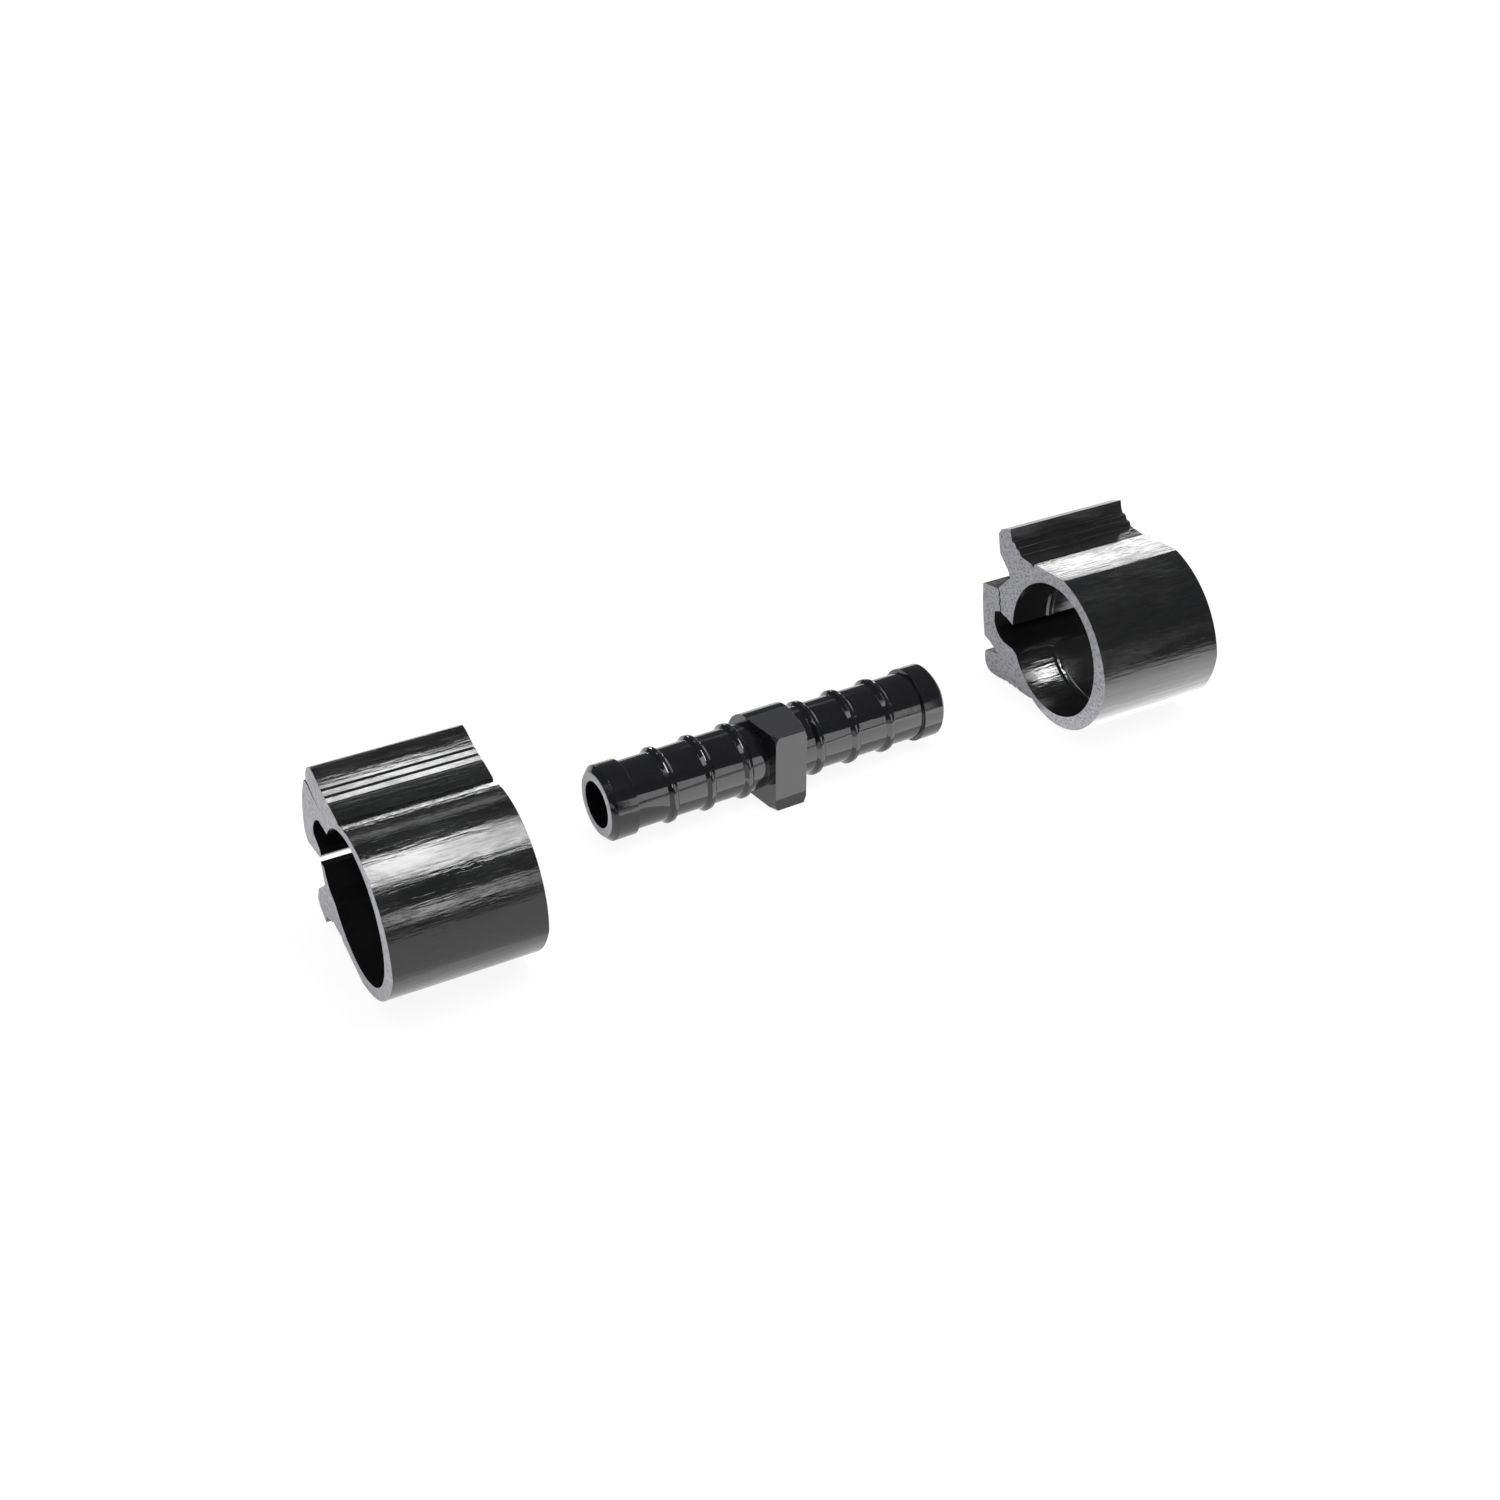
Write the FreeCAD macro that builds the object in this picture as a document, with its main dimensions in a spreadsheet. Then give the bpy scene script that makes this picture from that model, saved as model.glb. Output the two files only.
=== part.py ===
import FreeCAD, Part
import math
import os
import Sketcher

# Insert coupling for half-inch tubing with its two one-piece clamps, in millimetres.
# Origin: centre of the coupling's bore. X runs along the bore, -Y is the side with the flat
# wrench face, Z is up. A clamp lies off each end of the coupling, on the same level as it.

DRIVING_SIZES = {
    # Coupling: stem, ribs and end collars
    "coupling_length": 63.4,
    "bore_width": 7.9,
    "stem_width": 11.53,
    "rib_width": 12.8,
    "rib_first": 6.85,
    "rib_pitch": 6.9,
    "rib_count": 3,
    "rib_crest": 0.7,
    "rib_base": 1.7,
    "collar_width": 12.74,
    "collar_length": 4.5,
    "mouth_length": 0.9,
    "mouth_drop": 1.0,
    # Coupling: block with the wrench flats
    "block_height": 14.1,
    "block_front": 7.5,
    "block_back": 7.1,
    "block_thickness": 7.6,
    "block_front_thickness": 5.9,
    "block_corner_start": 8.0,
    "block_corner_angle": 30,
    # Clamp: split ring, by its opening and the walls around it
    "clamp_length": 23.6,
    "opening_width": 23.8,
    "wall_back": 3.3,
    "wall_crown": 2.3,
    "wall_under": 1.7,
    "crown_sag": 1.12,
    "bead_depth": 7.9,
    "bead_crest": 0.8,
    "bead_base": 1.6,
    "bead_height": 0.35,
    # Clamp: foot with its grip pad; a reach is measured outwards from the edge of the opening
    "pad_root": 5.05,
    "pad_root_lift": 1.1,
    "pad_start": 8.4,
    "pad_start_lift": 0.8,
    "pad_grip_length": 4.5,
    "pad_end_lift": 0.5,
    "pad_grip_depth": 0.25,
    "foot_flat": 1.2,
    "notch_lift": 4.7,
    # Clamp: latch arm and the pocket inside it; a level is measured from the centre of the opening
    "arm_root_reach": 8.2,
    "arm_root_rise": 0.4,
    "hook_reach": 5.2,
    "hook_level": 1.0,
    "hook_lean": 1.1,
    "pocket_lip": 0.4,
    "pocket_reach": 5.55,
    "pocket_floor": 5.7,
    "pocket_round": 3.3,
    "pocket_rise": 2.9,
    "pocket_bulge": 0.6,
    "arm_reach": 9.7,
    "arm_top": 2.7,
    "arm_end_rise": 1.1,
    # Clamp: toothed tongue
    "tongue_tip_angle": 5,
    "tongue_tip_thickness": 1.9,
    "tongue_tip_lift": 0.5,
    "tongue_ease": 1.2,
    "tooth_count": 3,
    "tooth_depth": 0.35,
    "jaw_gap": 0.3,
    # Clamp: shoulder behind the tongue, and the fin with its grip pad
    "shoulder_reach": 1.8,
    "shoulder_level": 7.5,
    "neck_reach": 2.6,
    "neck_level": 8.7,
    "elbow_reach": 5.3,
    "elbow_level": 10.8,
    "fin_reach": 6.1,
    "fin_rise": 2.4,
    "fin_thickness": 3.3,
    "fin_side_drop": 2.3,
    "fin_corner": 0.7,
    "fin_corner_drop": 1.2,
    "fin_root": 7.4,
    "fin_root_drop": 1.2,
    "root_groove_width": 0.7,
    "root_groove_depth": 0.5,
    "fin_grip_inset": 0.4,
    "fin_grip_drop": 1.3,
    "fin_grip_across": 3.96,
    "fin_grip_depth": 0.4,
    "grip_count": 3,
    # Latched clamp: how its foot, notch and arm are bent
    "latched_foot_reach": 7.6,
    "latched_foot_round": 2.2,
    "latched_foot_lip": 1.3,
    "latched_foot_bulge": 0.55,
    "latched_notch_mouth": 2.4,
    "latched_notch_depth": 3.9,
    "latched_arm_bow": 0.25,
    # Open clamp: how its foot, notch, arm and tongue are bent
    "open_foot_reach": 7.1,
    "open_foot_round": 2.6,
    "open_foot_lip": 0.3,
    "open_foot_bulge": 0.6,
    "open_notch_mouth": 0.8,
    "open_notch_depth": 5.4,
    "open_notch_lean": 1.3,
    "open_arm_bow": 0.7,
    "open_arm_reach": 10.2,
    "open_arm_top": 3.7,
    "open_arm_round": 1.6,
    "open_arm_end_rise": 1.1,
    "open_hook_reach": 3.2,
    "open_hook_level": 3.2,
    "open_hook_drop": 1.8,
    "open_pocket_reach": 5.5,
    "open_pocket_floor": 5.0,
    "open_pocket_rise": 4.3,
    "open_pocket_top": 0.3,
    "open_elbow_level": 11.6,
    "open_tongue_thickness": 1.6,
    "open_tongue_ease": 1.3,
    "open_tongue_bend": 3.1,
    # Where the clamps lie: the near end of each opening
    "clamp_turn": -1.9,
    "latched_clamp_along": 53.0,
    "latched_clamp_across": -6.6,
    "open_clamp_along": -77.7,
    "open_clamp_across": -15.0,
}

# Codes a sketch knows its points by: the origin as edge and point, then the three points of an edge
ORIGIN = (-1, 1)
START_POINT, END_POINT, CENTRE_POINT = range(1, 4)


class Size:
    """A size worked out from the sheet: its number now and the expression that keeps it."""

    def __init__(self, number, text):
        self.number = number
        self.text = text

    def joined(self, sign, other, number):
        return Size(number, "(" + self.text + " " + sign + " " + size_of(other).text + ")")

    def __add__(self, other):
        return self.joined("+", other, self.number + size_of(other).number)

    def __sub__(self, other):
        return self.joined("-", other, self.number - size_of(other).number)

    def __mul__(self, other):
        return self.joined("*", other, self.number * size_of(other).number)

    def __truediv__(self, other):
        return self.joined("/", other, self.number / size_of(other).number)

    def __neg__(self):
        return self * -1.0


def size_of(value):
    return value if isinstance(value, Size) else Size(float(value), str(float(value)))


def cosine(angle):
    return Size(math.cos(math.radians(angle.number)), "cos(" + angle.text + ")")


def sine(angle):
    return Size(math.sin(math.radians(angle.number)), "sin(" + angle.text + ")")


def tangent(angle):
    return Size(math.tan(math.radians(angle.number)), "tan(" + angle.text + ")")


def root(size):
    return Size(math.sqrt(size.number), "sqrt(" + size.text + ")")


def make_sheet(document):
    """Fills the sheet with the driving sizes and returns them by name."""
    sheet = document.addObject("Spreadsheet::Sheet", "Sizes")
    sizes = {}
    for row, (name, number) in enumerate(DRIVING_SIZES.items(), start=1):
        sheet.set("A" + str(row), name)
        sheet.set("B" + str(row), str(number))
        sheet.setAlias("B" + str(row), name)
        sizes[name] = Size(float(number), "Sizes." + name)
    document.recompute()
    return sizes


def origin_plane(body, role):
    return [item for item in body.Origin.OriginFeatures if item.Role == role][0]


def add_sketch(body, name, role):
    """Adds a sketch on one of the body's own origin planes."""
    sketch = body.newObject("Sketcher::SketchObject", name)
    sketch.AttachmentSupport = [(origin_plane(body, role), "")]
    sketch.MapMode = "FlatFace"
    return sketch


def bind(sketch, constraint, size):
    """Adds a driving dimension and ties it to the sheet."""
    place = sketch.addConstraint(constraint)
    sketch.setExpression("Constraints[" + str(place) + "]", size.text)


def pin(sketch, edge, end, corner):
    """Ties an end of an edge to its distances from the sketch's origin."""
    for kind, size in zip(("DistanceX", "DistanceY"), corner):
        bind(sketch, Sketcher.Constraint(kind, *ORIGIN, edge, end, size.number), size)


def vector(corner):
    return FreeCAD.Vector(corner[0].number, corner[1].number, 0)


def add_outline(sketch, corners):
    """Draws a closed outline through the corners with straight edges.

    A corner with a third entry starts an arc that bulges by that much to its right-hand side.
    """
    corners = [tuple(size_of(entry) for entry in corner) for corner in corners]
    ends = []
    for here, there in zip(corners, corners[1:] + corners[:1]):
        begin = vector(here)
        finish = vector(there)
        if len(here) == 2:
            edge = sketch.addGeometry(Part.LineSegment(begin, finish))
            ends.append((edge, START_POINT, END_POINT))
            continue
        chord = finish - begin
        side = FreeCAD.Vector(chord.y, -chord.x, 0).normalize()
        middle = (begin + finish) / 2 + side * here[2].number
        edge = sketch.addGeometry(Part.Arc(begin, middle, finish))
        runs_forward = (sketch.getPoint(edge, START_POINT) - begin).Length < chord.Length / 2
        ends.append((edge, START_POINT, END_POINT) if runs_forward else (edge, END_POINT, START_POINT))
        across = there[0] - here[0]
        up = there[1] - here[1]
        radius = ((across * across + up * up) / 4 + here[2] * here[2]) / (here[2] * 2)
        if here[2].number < 0:
            radius = -radius
        bind(sketch, Sketcher.Constraint("Radius", edge, radius.number), radius)
    for place, corner in enumerate(corners):
        edge, start, _ = ends[place]
        before, _, finish = ends[place - 1]
        sketch.addConstraint(Sketcher.Constraint("Coincident", before, finish, edge, start))
        pin(sketch, edge, start, corner[:2])


def add_circle(sketch, centre, radius):
    """Draws a circle with its centre and radius tied to the sheet."""
    centre = tuple(size_of(entry) for entry in centre)
    edge = sketch.addGeometry(Part.Circle(vector(centre), FreeCAD.Vector(0, 0, 1), radius.number))
    pin(sketch, edge, CENTRE_POINT, centre)
    bind(sketch, Sketcher.Constraint("Radius", edge, radius.number), radius)


def pad(body, name, sketch, length, side="One side"):
    feature = body.newObject("PartDesign::Pad", name)
    feature.Profile = sketch
    feature.SideType = side
    feature.setExpression("Length", length.text)
    return feature


def pocket_through(body, name, sketch):
    feature = body.newObject("PartDesign::Pocket", name)
    feature.Profile = sketch
    feature.SideType = "Symmetric"
    feature.Type = "ThroughAll"
    return feature


def turn(body, name, kind, sketch, axis):
    feature = body.newObject("PartDesign::" + kind, name)
    feature.Profile = sketch
    feature.ReferenceAxis = (sketch, [axis])
    feature.Angle = 360
    return feature


def stem_outline(sizes):
    """Half of the stem above its axis: ribs from the middle outwards, then the collar."""
    stem = sizes["stem_width"] / 2
    rib = sizes["rib_width"] / 2
    collar = sizes["collar_width"] / 2
    end = sizes["coupling_length"] / 2
    corners = [(0, 0), (end, 0)]
    corners += [(end, collar - sizes["mouth_drop"]), (end - sizes["mouth_length"], collar)]
    corners += [(end - sizes["collar_length"], collar), (end - sizes["collar_length"], stem)]
    for number in reversed(range(int(sizes["rib_count"].number))):
        centre = sizes["rib_first"] + sizes["rib_pitch"] * number
        corners += [(centre + sizes["rib_base"] / 2, stem), (centre + sizes["rib_crest"] / 2, rib)]
        corners += [(centre - sizes["rib_crest"] / 2, rib), (centre - sizes["rib_base"] / 2, stem)]
    corners.append((0, stem))
    return corners


def make_coupling(document, sizes):
    """The stem with its ribs and collars, and the block with the wrench flats, bored through."""
    body = document.addObject("PartDesign::Body", "coupling")

    profile = add_sketch(body, "StemProfile", "XZ_Plane")
    add_outline(profile, stem_outline(sizes))
    stem = turn(body, "HalfStem", "Revolution", profile, "H_Axis")
    mirror = body.newObject("PartDesign::Mirrored", "WholeStem")
    mirror.Originals = [stem]
    mirror.MirrorPlane = (origin_plane(body, "YZ_Plane"), [""])
    body.Tip = mirror
    document.recompute()

    thick = sizes["block_thickness"] / 2
    front = sizes["block_front_thickness"] / 2
    plan = add_sketch(body, "BlockPlan", "XY_Plane")
    add_outline(plan, [
        (-front, -sizes["block_front"]), (front, -sizes["block_front"]),
        (thick, 0), (thick, sizes["block_back"]), (-thick, sizes["block_back"]), (-thick, 0),
    ])
    pad(body, "Block", plan, sizes["block_height"], "Symmetric")
    document.recompute()

    back = sizes["block_back"]
    beyond = back * 2
    waste = add_sketch(body, "BackWaste", "YZ_Plane")
    quarter_bulge = -back * (1 - math.sqrt(0.5))
    add_outline(waste, [
        (0, back, quarter_bulge), (back, 0, quarter_bulge), (0, -back),
        (0, -beyond), (beyond, -beyond), (beyond, beyond), (0, beyond),
    ])
    pocket_through(body, "RoundBack", waste)
    document.recompute()

    start = sizes["block_corner_start"]
    reach = (sizes["block_front"] + sizes["block_height"]) / 2
    corners = add_sketch(body, "CornerWaste", "XZ_Plane")
    narrowed = thick - (reach - start) * tangent(sizes["block_corner_angle"])
    for side in (1, -1):
        add_outline(corners, [
            (thick * side, start), (thick * side * 2, start),
            (thick * side * 2, reach), (narrowed * side, reach),
        ])
    turn(body, "ConedCorners", "Groove", corners, "H_Axis")
    document.recompute()

    opening = add_sketch(body, "Bore", "YZ_Plane")
    add_circle(opening, (0, 0), sizes["bore_width"] / 2)
    pocket_through(body, "BoreThrough", opening)
    return body


def ridges(start, end, count, depth):
    """Corners of a row of ridges whose crests lie on the line from start to end."""
    across = end[0] - start[0]
    up = end[1] - start[1]
    length = root(across * across + up * up)
    corners = [start]
    for number in range(int(count.number)):
        valley = (number + 0.5) / int(count.number)
        crest = (number + 1) / int(count.number)
        corners.append((
            start[0] + across * valley - up / length * depth,
            start[1] + up * valley + across / length * depth,
        ))
        corners.append((start[0] + across * crest, start[1] + up * crest))
    return corners


class Ring:
    """The split ring's round sides, from its opening and the walls around it."""

    def __init__(self, sizes):
        self.opening = sizes["opening_width"] / 2
        self.radius = self.opening + (sizes["wall_crown"] + sizes["wall_under"]) / 2
        self.middle = self.radius - self.opening - sizes["wall_back"]
        self.rise = (sizes["wall_crown"] - sizes["wall_under"]) / 2
        self.top = self.opening + sizes["wall_crown"]
        self.bottom = -self.opening - sizes["wall_under"]

    def outline(self, crown_sag):
        """A flatter crown above, then round the back and the underside to where the jaws start."""
        quarter = self.radius * (1 - math.cos(math.pi / 4))
        eighth = self.radius * (1 - math.cos(math.pi / 8))
        slant = self.radius * math.cos(math.pi / 4)
        return [
            (self.middle, self.top, quarter - crown_sag),
            (self.middle - self.radius, self.rise, quarter),
            (self.middle, self.bottom, eighth),
            (self.middle + slant, self.rise - slant),
            (0, 0),
        ]


def lower_jaw(sizes, ring, jaws):
    """Foot with the ribbed grip pad, the notch above it and the latch arm."""
    foot = ring.opening + jaws["foot_reach"]
    notch = ring.bottom + sizes["notch_lift"]
    half_mouth = jaws["notch_mouth"] / 2
    arm_root = ring.opening + sizes["arm_root_reach"]
    pad_end = sizes["pad_start"] + sizes["pad_grip_length"]
    corners = [(0, 0), (sizes["pad_root"], ring.bottom + sizes["pad_root_lift"])]
    corners += ridges(
        (sizes["pad_start"], ring.bottom + sizes["pad_start_lift"]),
        (pad_end, ring.bottom + sizes["pad_end_lift"]),
        sizes["grip_count"], sizes["pad_grip_depth"],
    )
    corners += [
        (foot - jaws["foot_round"] - sizes["foot_flat"], ring.bottom),
        (foot - jaws["foot_round"], ring.bottom, jaws["foot_bulge"]),
        (foot, notch - half_mouth - jaws["foot_lip"]),
        (foot, notch - half_mouth),
        (foot - jaws["notch_depth"], notch + jaws["notch_lean"]),
        (foot - half_mouth, notch + half_mouth),
        (arm_root, notch + half_mouth + sizes["arm_root_rise"], jaws["arm_bow"]),
    ]
    return corners + jaws["arm_end"]


def upper_jaw(sizes, ring, jaws):
    """Tongue shoulder, and the fin with its ribbed grip pad."""
    fin = ring.opening + sizes["fin_reach"]
    fin_inner = fin - sizes["fin_thickness"]
    fin_top = ring.top + sizes["fin_rise"]
    root_level = ring.top - sizes["fin_root_drop"]
    shoulder = ring.opening + sizes["shoulder_reach"]
    neck = ring.opening + sizes["neck_reach"]
    elbow = ring.opening + sizes["elbow_reach"]
    grip_top = fin_inner - sizes["fin_grip_inset"]
    groove = sizes["root_groove_width"] / 2
    corners = [(0, 0)] + jaws["tongue_base"] + [
        (shoulder, sizes["shoulder_level"]),
        (neck, sizes["neck_level"]),
        (elbow, jaws["elbow_level"]),
        (fin, fin_top - sizes["fin_side_drop"]),
        (fin - sizes["fin_corner"], fin_top - sizes["fin_corner_drop"]),
        (fin_inner, fin_top),
    ]
    corners += ridges(
        (grip_top, fin_top - sizes["fin_grip_drop"]),
        (grip_top - sizes["fin_grip_across"], root_level),
        sizes["grip_count"], sizes["fin_grip_depth"],
    )
    corners += [
        (sizes["fin_root"] + groove, root_level),
        (sizes["fin_root"], root_level - sizes["root_groove_depth"]),
        (sizes["fin_root"] - groove, root_level + groove),
        (ring.middle, ring.top),
    ]
    return corners


def latched_jaws(sizes, ring):
    """The jaws pushed together: the tongue's teeth lie against the hook of the arm."""
    opening = ring.opening
    free = sizes["jaw_gap"]
    hook = opening + sizes["hook_reach"]
    wall = opening + sizes["pocket_reach"]
    floor = -sizes["pocket_floor"]
    arm_level = sizes["arm_top"] + sizes["arm_end_rise"]
    low = (hook - sizes["hook_lean"], -sizes["hook_level"] + sizes["hook_lean"] - free)
    tip = (opening * cosine(sizes["tongue_tip_angle"]), -opening * sine(sizes["tongue_tip_angle"]))
    tip_outer = (tip[0] + sizes["tongue_tip_thickness"], tip[1] + sizes["tongue_tip_lift"])
    count = sizes["tooth_count"]
    depth = sizes["tooth_depth"]
    teeth = ridges((low[0] - free, low[1]), (hook - free, arm_level), count, depth)
    hooks = ridges((low[0], low[1] - free / 3), (hook, arm_level), count, depth)
    gap = [
        (opening * 0.7, floor - sizes["pocket_lip"] * 3),
        (opening - sizes["pocket_lip"], floor),
        (wall - sizes["pocket_round"], floor, sizes["pocket_bulge"]),
        (wall, floor + sizes["pocket_rise"]),
        (wall, -sizes["hook_level"]),
    ]
    gap += hooks + [(hook + free, arm_level + free * 3), (hook - free, arm_level + free * 3)] + teeth[::-1]
    gap += [(low[0] - sizes["tongue_ease"], low[1] - free), tip_outer, tip, (opening * 0.8, tip[1])]
    return {
        "foot_reach": sizes["latched_foot_reach"],
        "foot_round": sizes["latched_foot_round"],
        "foot_lip": sizes["latched_foot_lip"],
        "foot_bulge": sizes["latched_foot_bulge"],
        "notch_mouth": sizes["latched_notch_mouth"],
        "notch_depth": sizes["latched_notch_depth"],
        "notch_lean": size_of(0.0),
        "arm_bow": sizes["latched_arm_bow"],
        "arm_end": [(opening + sizes["arm_reach"], sizes["arm_top"]), (hook, arm_level)],
        "tongue_base": [
            (tip_outer[0], tip_outer[1] - free * 5),
            (low[0] + free, low[1] - free * 3),
            (hook - free / 2, arm_level + free / 3),
        ],
        "elbow_level": sizes["elbow_level"],
        "gap": gap,
    }


def open_jaws(sizes, ring):
    """The jaws apart: the tongue's tip stands just above the tip of the hook."""
    opening = ring.opening
    free = sizes["jaw_gap"]
    hook = opening + sizes["open_hook_reach"]
    hook_low = sizes["open_hook_level"] - sizes["open_hook_drop"]
    wall = opening + sizes["open_pocket_reach"]
    floor = -sizes["open_pocket_floor"]
    tongue = sizes["open_hook_level"] + free * 2
    tongue_inner = hook - sizes["open_tongue_thickness"]
    tongue_back = tongue_inner - sizes["open_tongue_thickness"] - free * 2
    arm = opening + sizes["open_arm_reach"]
    arm_level = sizes["open_arm_top"]
    arm_round = sizes["open_arm_round"]
    gap = [
        (opening * 0.7, floor - free),
        (opening - free * 2, floor - free),
        (wall - sizes["pocket_round"], floor, sizes["pocket_bulge"]),
        (wall, floor + sizes["open_pocket_rise"]),
        (wall, sizes["open_pocket_top"]),
        (hook - free, hook_low),
        (hook - free * 2, hook_low + sizes["open_hook_drop"] / 2),
        (hook, sizes["open_hook_level"]),
        (hook + free * 3, sizes["open_hook_level"] + free),
        (hook + free * 2, tongue + free / 2),
        (hook - free, tongue + free / 2),
        (tongue_inner, tongue),
        (tongue_inner - free * 2, tongue + sizes["open_tongue_ease"]),
        (tongue_back, tongue + sizes["open_tongue_bend"]),
        (opening * 0.6, opening * 0.7),
    ]
    return {
        "foot_reach": sizes["open_foot_reach"],
        "foot_round": sizes["open_foot_round"],
        "foot_lip": sizes["open_foot_lip"],
        "foot_bulge": sizes["open_foot_bulge"],
        "notch_mouth": sizes["open_notch_mouth"],
        "notch_depth": sizes["open_notch_depth"],
        "notch_lean": sizes["open_notch_lean"],
        "arm_bow": sizes["open_arm_bow"],
        "arm_end": [
            (arm, arm_level - arm_round, arm_round / 3),
            (arm - arm_round, arm_level + sizes["open_arm_end_rise"]),
            (hook + arm_round, arm_level),
            (hook, sizes["open_hook_level"]),
        ],
        "tongue_base": [(hook - free / 3, tongue)],
        "elbow_level": sizes["open_elbow_level"],
        "gap": gap,
    }


def make_clamp(document, sizes, name, shape_jaws, place):
    """One clamp moulding: a split ring with a latch arm and a toothed tongue at the split."""
    body = document.addObject("PartDesign::Body", name)
    length = sizes["clamp_length"]
    ring = Ring(sizes)
    jaws = shape_jaws(sizes, ring)
    outlines = (
        ("Ring", ring.outline(sizes["crown_sag"])),
        ("LowerJaw", lower_jaw(sizes, ring, jaws)),
        ("UpperJaw", upper_jaw(sizes, ring, jaws)),
    )
    for part, corners in outlines:
        sketch = add_sketch(body, name + "_" + part, "XY_Plane")
        add_outline(sketch, corners)
        pad(body, name + "_" + part + "Pad", sketch, length)
        document.recompute()
    hole = add_sketch(body, name + "_Opening", "XY_Plane")
    add_circle(hole, (0, 0), ring.opening - sizes["bead_height"])
    pocket_through(body, name + "_OpeningThrough", hole)
    document.recompute()
    relief = add_sketch(body, name + "_Relief", "XZ_Plane")
    for corners in relief_outlines(sizes, ring):
        add_outline(relief, corners)
    turn(body, name + "_ReliefGroove", "Groove", relief, "V_Axis")
    document.recompute()
    gap = add_sketch(body, name + "_Gap", "XY_Plane")
    add_outline(gap, jaws["gap"])
    pocket_through(body, name + "_GapThrough", gap)
    document.recompute()
    body.Placement = place(sizes, ring)
    return body


def relief_outlines(sizes, ring):
    """What is cut from the opening's wall before, between and behind its two beads."""
    length = sizes["clamp_length"]
    inner = ring.opening - sizes["bead_height"]
    core = ring.opening / 2
    base = sizes["bead_base"] / 2
    crest = sizes["bead_crest"] / 2
    near = sizes["bead_depth"]
    far = length - sizes["bead_depth"]
    return [
        [
            (core, -base), (ring.opening, -base), (ring.opening, near - base),
            (inner, near - crest), (core, near - crest),
        ],
        [
            (core, near + crest), (inner, near + crest), (ring.opening, near + base),
            (ring.opening, far - base), (inner, far - crest), (core, far - crest),
        ],
        [
            (core, far + crest), (inner, far + crest), (ring.opening, far + base),
            (ring.opening, length + base), (core, length + base),
        ],
    ]


def lying_latched(sizes, ring):
    """Upright, on the bottom of its ring and the foot of its lower jaw."""
    level = -ring.bottom.number - sizes["block_height"].number / 2
    spot = FreeCAD.Vector(sizes["latched_clamp_along"].number, sizes["latched_clamp_across"].number, level)
    across = FreeCAD.Vector(0, 1, 0)
    up = FreeCAD.Vector(0, 0, 1)
    along = FreeCAD.Vector(1, 0, 0)
    turned = FreeCAD.Rotation(up, sizes["clamp_turn"].number)
    return FreeCAD.Placement(spot, turned.multiply(FreeCAD.Rotation(across, up, along, "XYZ")))


def lying_open(sizes, ring):
    """Turned over, on the side of its ring and the tip of its fin."""
    tip_across = (ring.opening + sizes["fin_reach"] - sizes["fin_thickness"] - ring.middle).number
    tip_up = (ring.top + sizes["fin_rise"] - ring.rise).number
    roll = math.atan2(tip_up - ring.radius.number, tip_across)
    floor = -sizes["block_height"].number / 2
    level = floor + ring.top.number * math.cos(roll) - ring.middle.number * math.sin(roll)
    across = FreeCAD.Vector(0, 1, 0)
    up = FreeCAD.Vector(0, 0, 1)
    along = FreeCAD.Vector(1, 0, 0)
    turned = FreeCAD.Rotation(up, sizes["clamp_turn"].number)
    rolled = FreeCAD.Rotation(along, math.degrees(roll))
    over = FreeCAD.Rotation(across, -up, -along, "XYZ")
    near = FreeCAD.Vector(sizes["open_clamp_along"].number, sizes["open_clamp_across"].number, level)
    far = near + turned.multVec(along) * sizes["clamp_length"].number
    return FreeCAD.Placement(far, turned.multiply(rolled).multiply(over))


def main():
    document = FreeCAD.newDocument("coupling_with_clamps")
    sizes = make_sheet(document)
    parts = [
        make_coupling(document, sizes),
        make_clamp(document, sizes, "clamp_latched", latched_jaws, lying_latched),
        make_clamp(document, sizes, "clamp_open", open_jaws, lying_open),
    ]
    document.recompute()
    for item in document.Objects:
        if "Invalid" in item.State or "Error" in item.State:
            raise RuntimeError(item.Name + " failed")
    os.makedirs("parts", exist_ok=True)
    for part in parts:
        if part.Shape.isNull() or not part.Shape.isValid():
            raise RuntimeError(part.Label + " has no sound shape")
        part.Shape.exportStep("parts/" + part.Label + ".step")


main()
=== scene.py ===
import math
import bpy
from mathutils import Matrix, Vector


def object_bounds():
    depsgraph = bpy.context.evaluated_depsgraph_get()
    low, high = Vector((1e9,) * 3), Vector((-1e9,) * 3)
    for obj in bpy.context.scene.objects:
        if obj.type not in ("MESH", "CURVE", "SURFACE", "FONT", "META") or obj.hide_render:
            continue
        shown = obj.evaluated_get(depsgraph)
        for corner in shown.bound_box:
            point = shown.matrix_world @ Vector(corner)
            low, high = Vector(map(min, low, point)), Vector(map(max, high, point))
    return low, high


# Looks of the insert coupling and its two clamps: white table, soft boxes, moulded black plastic.
# Lengths are in metres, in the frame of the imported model.

MM = 0.001

# Camera: the photograph's viewing angle, in a square picture
CAMERA_PLACE = Vector((-148.97, -248.78, 191.19)) * MM
CAMERA_RIGHT = Vector((0.86313, -0.50498, 0.0))
CAMERA_UP = Vector((0.27813, 0.47539, 0.83466))
CAMERA_FOCAL_PIXELS = 2098.46
CAMERA_NEAREST = 0.01
CAMERA_FARTHEST = 50.0
PICTURE_PIXELS = 1500
SENSOR_WIDTH = 36.0

# Table: half its side, the grey that takes shadows, and the white it shows of itself
TABLE_HALF = 4.0
TABLE_GREY = (0.85, 0.85, 0.85, 1.0)
TABLE_GLOW = 1.08
TABLE_GLOW_SHARE = 0.84
WHITE = (1.0, 1.0, 1.0, 1.0)

# Room: a dim, slightly cool light from all around
ROOM_COLOUR = (0.9, 0.95, 1.0, 1.0)
ROOM_STRENGTH = 0.12

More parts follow.
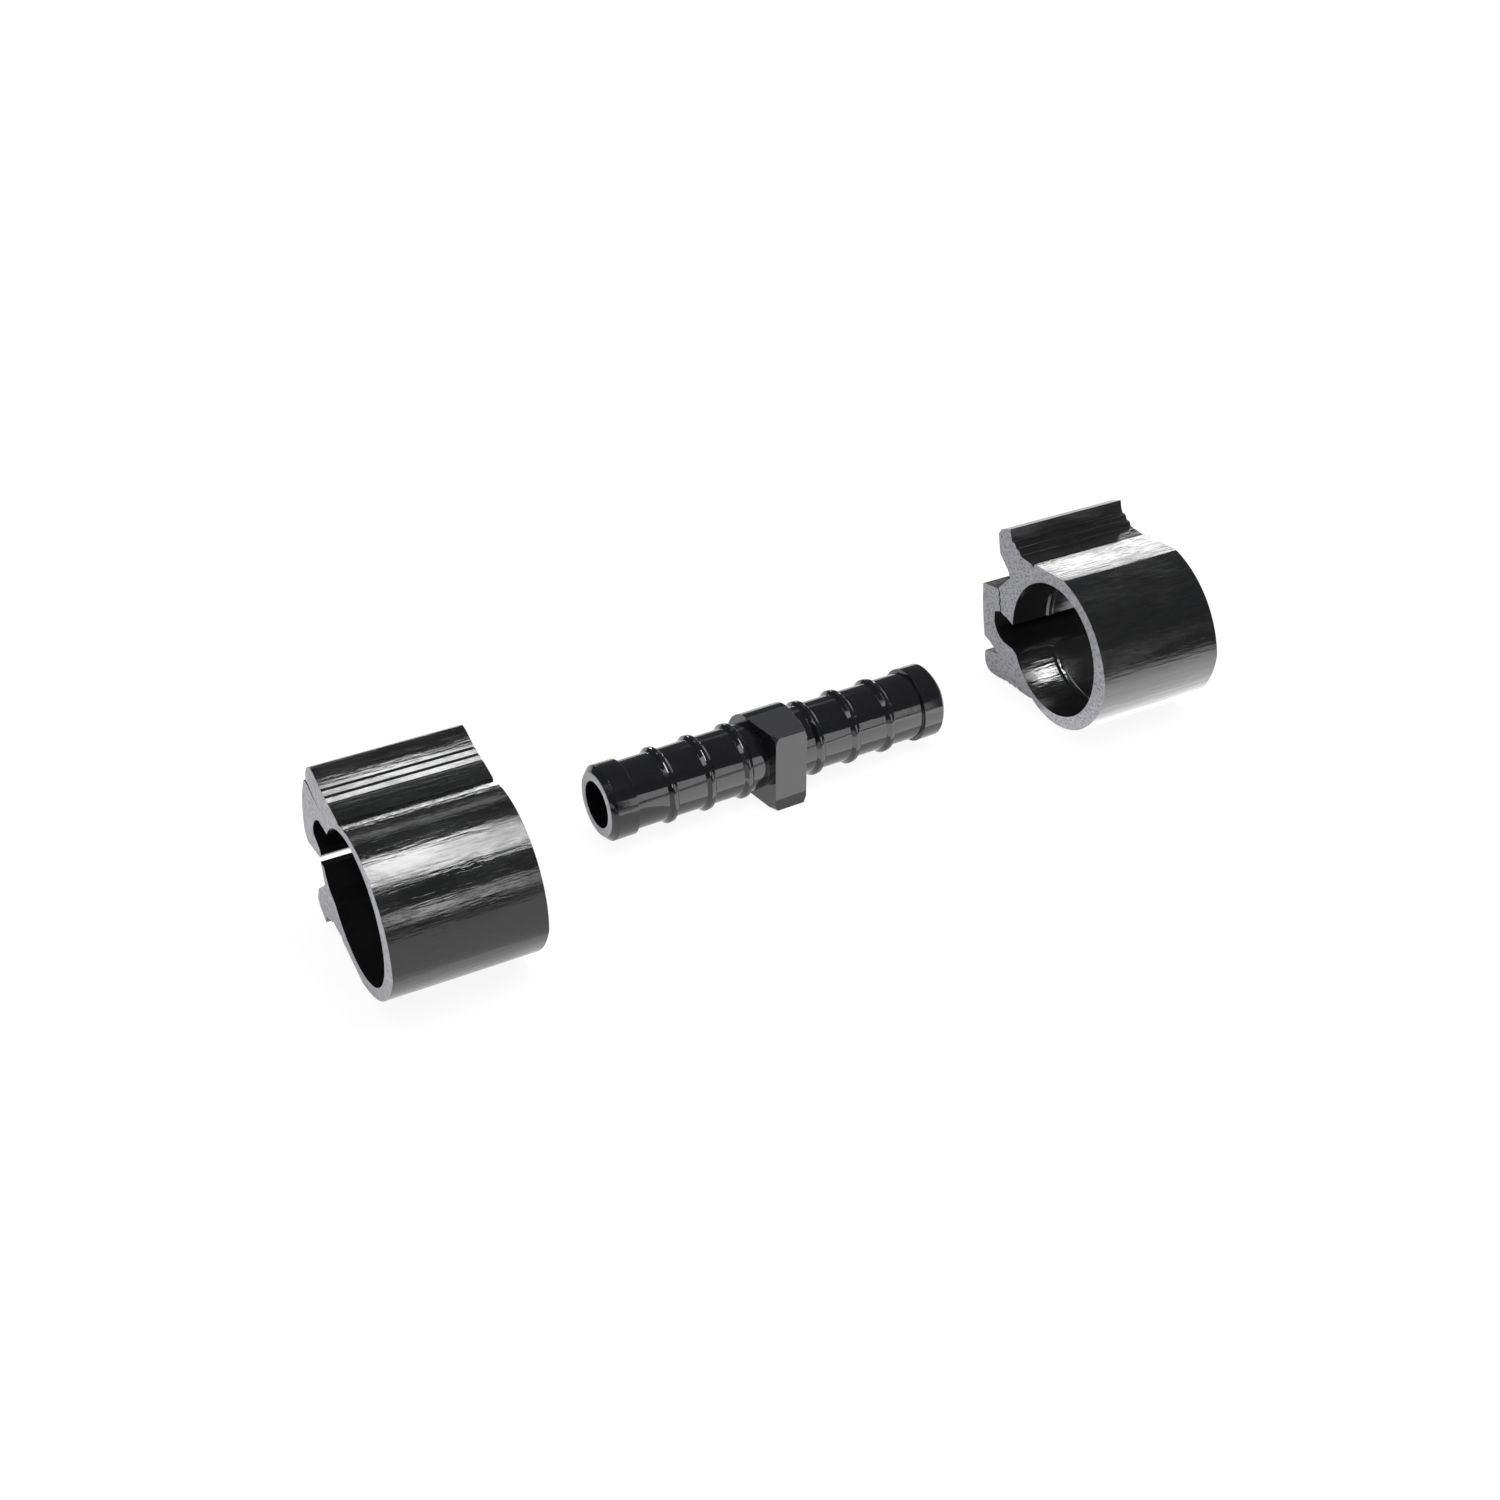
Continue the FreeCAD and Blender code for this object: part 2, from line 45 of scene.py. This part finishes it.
# Where the lights are aimed: the middle of the coupling, and of each clamp's opening
CENTRE = Vector((0.0, 0.0, 0.0))
LEFT_CLAMP = Vector((-66.0, -15.4, 7.2)) * MM
RIGHT_CLAMP = Vector((64.8, -7.0, 6.6)) * MM

# Where the two panels lie on the table, and a small box inside the right clamp's opening
RIGHT_TABLE = Vector((112.0, -82.0, -6.9)) * MM
FRONT_TABLE = Vector((22.0, -45.0, -6.9)) * MM
RIGHT_OPENING = Vector((70.4, -7.0, 16.8)) * MM

# How far a light stands from its aim, and the direction of one that shines up from the table
FILL_DISTANCE = 1.3
BAND_DISTANCE = 1.0
IN_PLACE = 0.0
BELOW = (0.0, 0.0, -1.0)

# Clamps: the turn of their axes from X
CLAMP_TURN = math.radians(-1.9)

# Coupling: where the painted highlight on its stems' cut ends starts and is full, along the bore
STEM_END = 31.7 * MM
TIP_START = STEM_END - 0.6 * MM
TIP_FULL = STEM_END - 0.2 * MM

# The part of a normal along the bore from which a face starts to count as an end, and is one
END_FACING_START = 0.86
END_FACING_FULL = 0.985

# Grain of the plastics, in repeats per metre along the bore, across it and upwards
DRAWN_GRAIN = (45.0, 1100.0, 1100.0)
FLECK_GRAIN = (300.0, 2400.0, 2400.0)
CLOUD_GRAIN = (110.0, 300.0, 300.0)
SPECK_GRAIN = (900.0, 1500.0, 2600.0)
WAVE_GRAIN = (220.0, 420.0, 420.0)
MARK_GRAIN = (2600.0, 2600.0, 2600.0)

# Greys of the plastics: darkest and palest of their bodies, the painted highlight on the
# coupling's ends, and the lilac tints. A tint adds its share of blue and takes a little of
# that share from green.
CLAMP_GREYS = (0.004, 0.014)
COUPLING_GREYS = (0.004, 0.01)
# The coupling's end grey is a painted highlight on its gloss black stem ends, not the plastic's
# own colour
COUPLING_END_PAINTED_HIGHLIGHT = 0.25
CLAMP_TINT = 0.04
CLAMP_END_TINT = 0.08
COUPLING_TINT = 0.2
COUPLING_END_HIGHLIGHT_TINT = 0.1
GREEN_LOSS = 0.05

# Gloss of the plastics
PLASTIC_IOR = 1.6
CLAMP_END_ROUGHNESS = 0.5

# Edges: the width that rounds them, and how the facets of the solids are joined
CLAMP_EDGE = 0.2 * MM
COUPLING_EDGE = 0.1 * MM
EDGE_ANGLE = math.radians(20)
EDGE_SEGMENTS = 2
WELD_DISTANCE = 0.002 * MM
NORMAL_WEIGHT = 90


def add_camera():
    """The photograph's viewpoint, level from side to side."""
    data = bpy.data.cameras.new("view_camera")
    data.sensor_width = SENSOR_WIDTH
    data.lens = CAMERA_FOCAL_PIXELS / PICTURE_PIXELS * SENSOR_WIDTH
    data.clip_start = CAMERA_NEAREST
    data.clip_end = CAMERA_FARTHEST
    camera = bpy.data.objects.new("view_camera", data)
    bpy.context.scene.collection.objects.link(camera)
    right = CAMERA_RIGHT.normalized()
    up = CAMERA_UP.normalized()
    back = right.cross(up)
    turned = Matrix((right, up, back)).transposed().to_4x4()
    camera.matrix_world = Matrix.Translation(CAMERA_PLACE) @ turned
    bpy.context.scene.camera = camera


def add_light(name, aim, direction, distance, width, height, radiance, mirrored=True, felt=True):
    """A soft box that faces its aim, with its width along the bore.

    It is mirrored in gloss, felt as light that falls, or both.
    """
    data = bpy.data.lights.new(name, "AREA")
    data.shape = "RECTANGLE"
    data.size = width
    data.size_y = height
    data.energy = math.pi * radiance * width * height
    light = bpy.data.objects.new(name, data)
    bpy.context.scene.collection.objects.link(light)
    towards = Vector(direction).normalized()
    light.location = aim + towards * distance
    along = (Vector((1.0, 0.0, 0.0)) - towards * towards.x).normalized()
    turned = Matrix((along, towards.cross(along), towards)).transposed()
    light.rotation_mode = "QUATERNION"
    light.rotation_quaternion = turned.to_quaternion()
    light.visible_camera = False
    light.visible_glossy = mirrored
    light.visible_diffuse = felt


def add_lights():
    """Two wide fills, the bands and glows seen in the gloss, and panels lying on the table."""
    add_light("sky_fill", CENTRE, (0.1, -0.1, 1.0), FILL_DISTANCE,
              width=1.7, height=1.7, radiance=1.7, mirrored=False)
    add_light("left_fill", CENTRE, (-1.0, -0.35, 0.35), FILL_DISTANCE,
              width=0.8, height=0.8, radiance=1.3, mirrored=False)
    add_light("left_band", LEFT_CLAMP, (0.24, -0.19, 0.95), BAND_DISTANCE,
              width=0.13, height=0.6, radiance=17.0)
    add_light("left_low_band", LEFT_CLAMP, (0.21, -0.90, 0.35), BAND_DISTANCE,
              width=0.1, height=0.19, radiance=8.0)
    add_light("left_pad_line", LEFT_CLAMP, (0.29, 0.94, 0.17), BAND_DISTANCE,
              width=0.13, height=0.18, radiance=22.0)
    add_light("left_pad_glow", LEFT_CLAMP, (0.28, 0.67, 0.69), BAND_DISTANCE,
              width=0.14, height=0.12, radiance=2.4)
    add_light("right_band", RIGHT_CLAMP, (0.575, 0.75, 0.33), BAND_DISTANCE,
              width=0.16, height=0.14, radiance=10.0)
    add_light("right_table_glow", RIGHT_TABLE, BELOW, IN_PLACE,
              width=0.13, height=0.156, radiance=2.0, felt=False)
    add_light("right_inner_glint", RIGHT_OPENING, (0.5, -0.3, 0.8), IN_PLACE,
              width=0.004, height=0.004, radiance=36.0)
    add_light("table_glow", FRONT_TABLE, BELOW, IN_PLACE,
              width=0.08, height=0.07, radiance=1.4, felt=False)
    add_light("low_glow", CENTRE, (0.42, -0.87, 0.2), BAND_DISTANCE,
              width=0.2, height=0.36, radiance=2.2, felt=False)
    add_light("block_glow", CENTRE, (0.43, 0.715, 0.55), BAND_DISTANCE,
              width=0.1, height=0.2, radiance=0.35)
    add_light("right_edges", CENTRE, (0.86, 0.25, 0.44), BAND_DISTANCE,
              width=0.5, height=0.6, radiance=3.5)
    add_light("left_edges", CENTRE, (-0.9, -0.1, 0.45), BAND_DISTANCE,
              width=0.25, height=0.3, radiance=3.0)


class Shades:
    """Builds one plastic's node tree in a few words."""

    def __init__(self, name):
        self.material = bpy.data.materials.new(name)
        self.material.use_nodes = True
        self.tree = self.material.node_tree
        self.shader = self.tree.nodes["Principled BSDF"]
        self.shader.inputs["IOR"].default_value = PLASTIC_IOR
        self.coordinates = self.tree.nodes.new("ShaderNodeTexCoord")

    def wire(self, value, socket):
        """Links a socket, or sets a constant on it."""
        if isinstance(value, bpy.types.NodeSocket):
            self.tree.links.new(value, socket)
        else:
            socket.default_value = value

    def surface(self, colour, roughness, normal):
        """The material, with its shader's colour, roughness and bumped normal wired."""
        self.wire(colour, self.shader.inputs["Base Color"])
        self.wire(roughness, self.shader.inputs["Roughness"])
        self.wire(normal, self.shader.inputs["Normal"])
        return self.material

    def place(self, turn, grain):
        """Object coordinates turned about Z, then stretched to a grain."""
        turned = self.tree.nodes.new("ShaderNodeMapping")
        turned.inputs["Rotation"].default_value = (0.0, 0.0, -turn)
        stretched = self.tree.nodes.new("ShaderNodeMapping")
        stretched.inputs["Scale"].default_value = grain
        self.wire(self.coordinates.outputs["Object"], turned.inputs["Vector"])
        self.wire(turned.outputs[0], stretched.inputs["Vector"])
        return stretched.outputs[0]

    def noise(self, place, detail=2.0, roughness=0.5):
        """Noise that repeats about once in each unit of the place given."""
        made = self.tree.nodes.new("ShaderNodeTexNoise")
        made.inputs["Scale"].default_value = 1.0
        made.inputs["Detail"].default_value = detail
        made.inputs["Roughness"].default_value = roughness
        self.wire(place, made.inputs["Vector"])
        return made.outputs["Fac"]

    def math(self, operation, first, second=0.0):
        """One step of arithmetic on two values."""
        made = self.tree.nodes.new("ShaderNodeMath")
        made.operation = operation
        self.wire(first, made.inputs[0])
        self.wire(second, made.inputs[1])
        return made.outputs[0]

    def spread(self, value, low, high, made_low=0.0, made_high=1.0):
        """Maps low..high to made_low..made_high with a soft step, clamped."""
        made = self.tree.nodes.new("ShaderNodeMapRange")
        made.interpolation_type = "SMOOTHSTEP"
        for socket, number in zip(made.inputs[1:5], (low, high, made_low, made_high)):
            socket.default_value = number
        self.wire(value, made.inputs["Value"])
        return made.outputs[0]

    def blend(self, share, first, second):
        """Colour between first and second."""
        made = self.tree.nodes.new("ShaderNodeMix")
        made.data_type = "RGBA"
        self.wire(share, made.inputs["Factor"])
        self.wire(first, made.inputs["A"])
        self.wire(second, made.inputs["B"])
        return made.outputs["Result"]

    def bump(self, height, distance, strength, under=None):
        """Normal raised by a height, on top of the bump under it."""
        made = self.tree.nodes.new("ShaderNodeBump")
        made.inputs["Strength"].default_value = strength
        made.inputs["Distance"].default_value = distance
        self.wire(height, made.inputs["Height"])
        if under is not None:
            self.wire(under, made.inputs["Normal"])
        return made.outputs[0]

    def size_along_bore(self, output):
        """How far a normal or a place reaches along the bore, either way."""
        parts = self.tree.nodes.new("ShaderNodeSeparateXYZ")
        self.wire(self.coordinates.outputs[output], parts.inputs[0])
        return self.math("ABSOLUTE", parts.outputs["X"])

    def facing_ends(self):
        """1 on faces square to the bore, 0 elsewhere."""
        return self.spread(self.size_along_bore("Normal"), END_FACING_START, END_FACING_FULL)


def grey(level, tint=0.0):
    """A grey, a little lilac where tint is above zero."""
    return (level, level * (1.0 - tint * GREEN_LOSS), level * (1.0 + tint), 1.0)


def clamp_plastic(name, end_greys, flecked):
    """Fibre-filled black nylon with marks drawn along the bore and paler ends flecked with fibre.

    The ends go from the first to the second grey as their specks go through the flecked range.
    """
    shades = Shades(name)
    drawn = shades.noise(shades.place(CLAMP_TURN, DRAWN_GRAIN), detail=4.0, roughness=0.6)
    flecks = shades.noise(shades.place(CLAMP_TURN, FLECK_GRAIN), roughness=0.65)
    cloud = shades.noise(shades.place(CLAMP_TURN, CLOUD_GRAIN))
    specks = shades.noise(shades.place(CLAMP_TURN, SPECK_GRAIN), detail=3.0, roughness=0.75)
    ends = shades.facing_ends()
    darkest, palest = CLAMP_GREYS
    body = shades.blend(flecks, grey(darkest), grey(palest, CLAMP_TINT))
    end_dark, end_pale = [grey(level, CLAMP_END_TINT) for level in end_greys]
    cut = shades.blend(shades.spread(specks, *flecked), end_dark, end_pale)
    gloss = shades.spread(cloud, 0.35, 0.65, made_low=0.1, made_high=0.19)
    fibre = shades.spread(flecks, 0.4, 0.75, made_low=0.0, made_high=0.06)
    body_rough = shades.math("ADD", gloss, fibre)
    cut_rough = shades.math("MULTIPLY", ends, CLAMP_END_ROUGHNESS)
    swells = shades.bump(cloud, distance=0.0004, strength=0.2)
    lines = shades.bump(drawn, distance=0.0001, strength=0.5, under=swells)
    return shades.surface(
        colour=shades.blend(ends, body, cut),
        roughness=shades.math("MAXIMUM", body_rough, cut_rough),
        normal=shades.bump(flecks, distance=0.00006, strength=0.5, under=lines),
    )


def coupling_plastic():
    """Gloss black plastic with soft flow waves, a few fine marks and a painted highlight on the
    stem ends.
    """
    shades = Shades("gloss_black")
    waves = shades.noise(shades.place(0.0, WAVE_GRAIN))
    marks = shades.noise(shades.place(0.0, MARK_GRAIN))
    # Mask of the stems' cut ends, which get the painted highlight
    painted_highlight_tips = shades.spread(shades.size_along_bore("Object"), TIP_START, TIP_FULL)
    ends = shades.math("MULTIPLY", shades.facing_ends(), painted_highlight_tips)
    darkest, palest = [grey(level, COUPLING_TINT) for level in COUPLING_GREYS]
    body = shades.blend(marks, darkest, palest)
    soft = shades.bump(waves, distance=0.0002, strength=0.1)
    return shades.surface(
        colour=shades.blend(ends, body, grey(COUPLING_END_PAINTED_HIGHLIGHT, COUPLING_END_HIGHLIGHT_TINT)),
        roughness=shades.spread(waves, 0.3, 0.7, made_low=0.04, made_high=0.1),
        normal=shades.bump(marks, distance=0.00001, strength=0.3, under=soft),
    )


def seen_share(tree):
    """1 for what is seen straight, in a gloss or through glass, and 0 for light that falls."""
    path = tree.nodes.new("ShaderNodeLightPath")
    share = path.outputs["Is Camera Ray"]
    for ray in ("Is Glossy Ray", "Is Transmission Ray"):
        either = tree.nodes.new("ShaderNodeMath")
        either.operation = "MAXIMUM"
        tree.links.new(share, either.inputs[0])
        tree.links.new(path.outputs[ray], either.inputs[1])
        share = either.outputs[0]
    return share


def mix_into(output, tree, share, first, second):
    """Sends first and second, mixed by a share, to a tree's output."""
    mixed = tree.nodes.new("ShaderNodeMixShader")
    tree.links.new(share, mixed.inputs["Fac"])
    tree.links.new(first.outputs[0], mixed.inputs[1])
    tree.links.new(second.outputs[0], mixed.inputs[2])
    tree.links.new(mixed.outputs[0], output.inputs["Surface"])


def add_floor(level):
    """White table: mostly its own white to the eye, with the shadows of the object kept."""
    mesh = bpy.data.meshes.new("floor")
    sides = ((-1, -1), (1, -1), (1, 1), (-1, 1))
    corners = [(TABLE_HALF * x, TABLE_HALF * y, level) for x, y in sides]
    mesh.from_pydata(corners, [], [(0, 1, 2, 3)])
    floor = bpy.data.objects.new("floor", mesh)
    bpy.context.scene.collection.objects.link(floor)
    material = bpy.data.materials.new("white_table")
    material.use_nodes = True
    tree = material.node_tree
    tree.nodes.clear()
    output = tree.nodes.new("ShaderNodeOutputMaterial")
    plain = tree.nodes.new("ShaderNodeBsdfDiffuse")
    plain.inputs["Color"].default_value = TABLE_GREY
    white = tree.nodes.new("ShaderNodeEmission")
    white.inputs["Color"].default_value = WHITE
    white.inputs["Strength"].default_value = TABLE_GLOW
    share = tree.nodes.new("ShaderNodeMath")
    share.operation = "MULTIPLY"
    share.inputs[1].default_value = TABLE_GLOW_SHARE
    tree.links.new(seen_share(tree), share.inputs[0])
    mix_into(output, tree, share.outputs[0], plain, white)
    mesh.materials.append(material)


def add_world():
    """White behind everything for the camera, a dim even room for the light."""
    world = bpy.data.worlds.new("studio")
    world.use_nodes = True
    tree = world.node_tree
    tree.nodes.clear()
    output = tree.nodes.new("ShaderNodeOutputWorld")
    room = tree.nodes.new("ShaderNodeBackground")
    room.inputs["Color"].default_value = ROOM_COLOUR
    room.inputs["Strength"].default_value = ROOM_STRENGTH
    white = tree.nodes.new("ShaderNodeBackground")
    white.inputs["Color"].default_value = WHITE
    path = tree.nodes.new("ShaderNodeLightPath")
    mix_into(output, tree, path.outputs["Is Camera Ray"], room, white)
    bpy.context.scene.world = world


def finish_node(name, material, edge):
    """Joins a node's split facets, rounds its edges and gives it its material."""
    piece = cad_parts[name]
    mesh = piece.data
    if "custom_normal" in mesh.attributes:
        mesh.attributes.remove(mesh.attributes["custom_normal"])
    mesh.shade_smooth()
    mesh.materials.clear()
    mesh.materials.append(material)
    weld = piece.modifiers.new("weld", "WELD")
    weld.merge_threshold = WELD_DISTANCE
    bevel = piece.modifiers.new("edges", "BEVEL")
    bevel.width = edge
    bevel.segments = EDGE_SEGMENTS
    bevel.limit_method = "ANGLE"
    bevel.angle_limit = EDGE_ANGLE
    bevel.use_clamp_overlap = True
    normals = piece.modifiers.new("normals", "WEIGHTED_NORMAL")
    normals.keep_sharp = False
    normals.weight = NORMAL_WEIGHT


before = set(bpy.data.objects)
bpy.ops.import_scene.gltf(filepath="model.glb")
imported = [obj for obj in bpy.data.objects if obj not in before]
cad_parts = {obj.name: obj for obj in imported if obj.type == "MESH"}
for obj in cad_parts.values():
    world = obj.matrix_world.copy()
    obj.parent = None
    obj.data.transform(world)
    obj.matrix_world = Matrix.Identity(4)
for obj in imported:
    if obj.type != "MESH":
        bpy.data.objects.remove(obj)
cad_low, cad_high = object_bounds()

bpy.context.scene.view_settings.view_transform = "Standard"
add_camera()
add_floor(cad_low.z)
add_world()
add_lights()

finish_node("coupling", coupling_plastic(), COUPLING_EDGE)
latched_look = clamp_plastic("filled_black", end_greys=(0.13, 0.36), flecked=(0.36, 0.56))
# The open clamp is the same plastic as the latched one; its paler end greys are painted light on
# its ends
open_look_painted_lit = clamp_plastic("filled_black_painted_lit_ends", end_greys=(0.2, 0.42), flecked=(0.34, 0.58))
finish_node("clamp_latched", latched_look, CLAMP_EDGE)
finish_node("clamp_open", open_look_painted_lit, CLAMP_EDGE)
